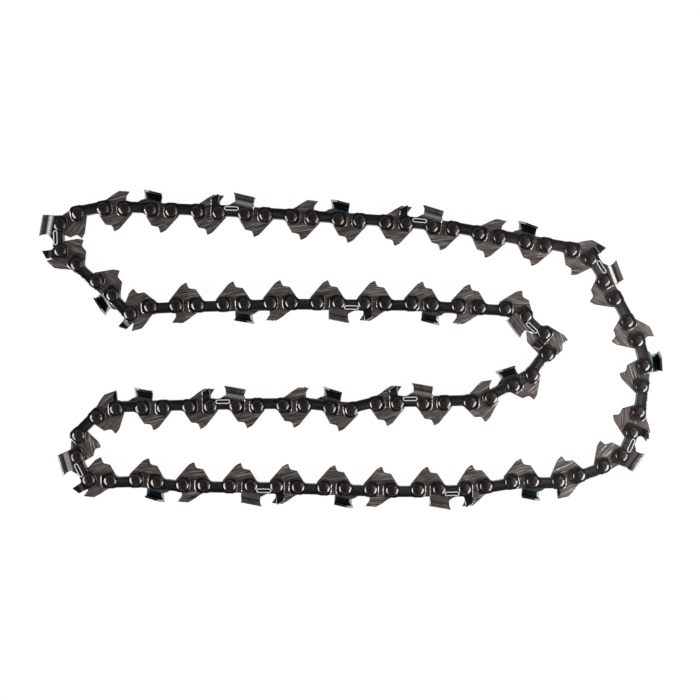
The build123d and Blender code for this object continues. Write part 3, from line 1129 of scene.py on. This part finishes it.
# floor, lamps, world and camera; the fades are stretches of a direction's Y or Z
stage = {
    "floorHalf": 4.0,
    "floorGap": 0.00002,
    "floorGrey": 0.85,
    "floorGlow": 1.02,
    "floorWhite": 0.95,    # share of the glow where the floor is seen; the rest takes the shadow
    "lens": 85,
    "sensor": 36,
    "frameWidth": 0.2773,
    "lookAt": (-0.00043, -0.00032),
    "lamps": {    # all aimed at the middle of the loop
        "leftBox": {"place": (-0.52, -0.15, 0.27), "width": 0.56, "height": 0.35, "radiance": 6.5},
        "rightBox": {"place": (0.36, -0.18, 0.20), "width": 0.42, "height": 0.25, "radiance": 6.5},
        "highBox": {"place": (0.48, 0.0, 0.66), "width": 0.90, "height": 0.70, "radiance": 0.8},
    },
    "zenith": 0.16,
    "zenithFade": (0.65, 0.9),
    "wall": 0.24,
    "wallFade": (0.05, 0.25),
    "darkSide": 0.25,    # what polished faces see of the horizon behind the loop
    "darkFade": (0.1, 0.6),
    "frontCard": 0.4,    # and what a white card in front adds
    "cardFade": (-0.45, -0.75),
    "cardTop": (0.45, 0.3),
    "ambient": 0.3,
}


def backgroundRays(tree, rays):
    # 1 where the background is seen: by the camera, in polished faces or through glass
    seen = maths(tree, "MAXIMUM", rays["Is Camera Ray"], rays["Is Glossy Ray"])
    return maths(tree, "MAXIMUM", seen, rays["Is Transmission Ray"])


floorMesh = bpy.data.meshes.new("floor")
half, below = stage["floorHalf"], cadLow.z - stage["floorGap"]
corners = [(-half, -half, below), (half, -half, below), (half, half, below), (-half, half, below)]
floorMesh.from_pydata(corners, [], [(0, 1, 2, 3)])
floor = bpy.data.objects.new("floor", floorMesh)
bpy.context.scene.collection.objects.link(floor)
floorPaint = bpy.data.materials.new("floorPaint")
floorPaint.use_nodes = True
tree = floorPaint.node_tree
tree.nodes.clear()
seen = backgroundRays(tree, addNode(tree, "ShaderNodeLightPath").outputs)
white = maths(tree, "MULTIPLY", seen, stage["floorWhite"])
plain = addNode(tree, "ShaderNodeBsdfDiffuse", {"Color": asColour([stage["floorGrey"]] * 3)})
glow = addNode(tree, "ShaderNodeEmission", {"Color": (1, 1, 1, 1), "Strength": stage["floorGlow"]})
both = addNode(tree, "ShaderNodeMixShader", {0: white, 1: plain.outputs[0], 2: glow.outputs[0]})
feed(tree, both.outputs[0], addNode(tree, "ShaderNodeOutputMaterial").inputs[0])
floorMesh.materials.append(floorPaint)

for name, lamp in stage["lamps"].items():
    light = bpy.data.lights.new(name, "AREA")
    light.shape = "ELLIPSE"
    light.size, light.size_y = lamp["width"], lamp["height"]
    light.energy = lamp["radiance"] * math.pi * lamp["width"] * lamp["height"] * math.pi / 4
    holder = bpy.data.objects.new(name, light)
    holder.location = lamp["place"]
    holder.rotation_euler = (Vector() - Vector(lamp["place"])).to_track_quat("-Z", "Y").to_euler()
    holder.visible_camera = False
    bpy.context.scene.collection.objects.link(holder)

world = bpy.data.worlds.new("studio")
bpy.context.scene.world = world
world.use_nodes = True
tree = world.node_tree
tree.nodes.clear()
rays = addNode(tree, "ShaderNodeLightPath").outputs
direction = addNode(tree, "ShaderNodeTexCoord").outputs["Generated"]
aim = addNode(tree, "ShaderNodeSeparateXYZ", {0: direction}).outputs
behind = remap(tree, aim["Y"], *stage["darkFade"], 1.0, stage["darkSide"])
horizon = mixValues(tree, rays["Is Glossy Ray"], 1.0, behind)
wall = remap(tree, aim["Z"], *stage["wallFade"], horizon, stage["wall"])
card = maths(tree, "MULTIPLY", remap(tree, aim["Y"], *stage["cardFade"], 0, stage["frontCard"]),
             remap(tree, aim["Z"], *stage["cardTop"], 0, 1))
wall = maths(tree, "ADD", wall, maths(tree, "MULTIPLY", card, rays["Is Glossy Ray"]))
dimming = remap(tree, aim["Z"], *stage["zenithFade"], 0, stage["wall"] - stage["zenith"])
ceiling = maths(tree, "SUBTRACT", wall, dimming)
level = mixValues(tree, backgroundRays(tree, rays), stage["ambient"], ceiling)
sky = addNode(tree, "ShaderNodeBackground", {"Color": (1, 1, 1, 1), "Strength": level})
feed(tree, sky.outputs[0], addNode(tree, "ShaderNodeOutputWorld").inputs[0])

camera = bpy.data.cameras.new("camera")
camera.lens = stage["lens"]
camera.sensor_width = stage["sensor"]
viewpoint = bpy.data.objects.new("camera", camera)
distance = stage["frameWidth"] * stage["lens"] / stage["sensor"]
viewpoint.location = (*stage["lookAt"], middlePlane + distance)    # straight above, looking down
bpy.context.scene.collection.objects.link(viewpoint)
bpy.context.scene.camera = viewpoint
bpy.context.scene.view_settings.view_transform = "Standard"
print("stage set")
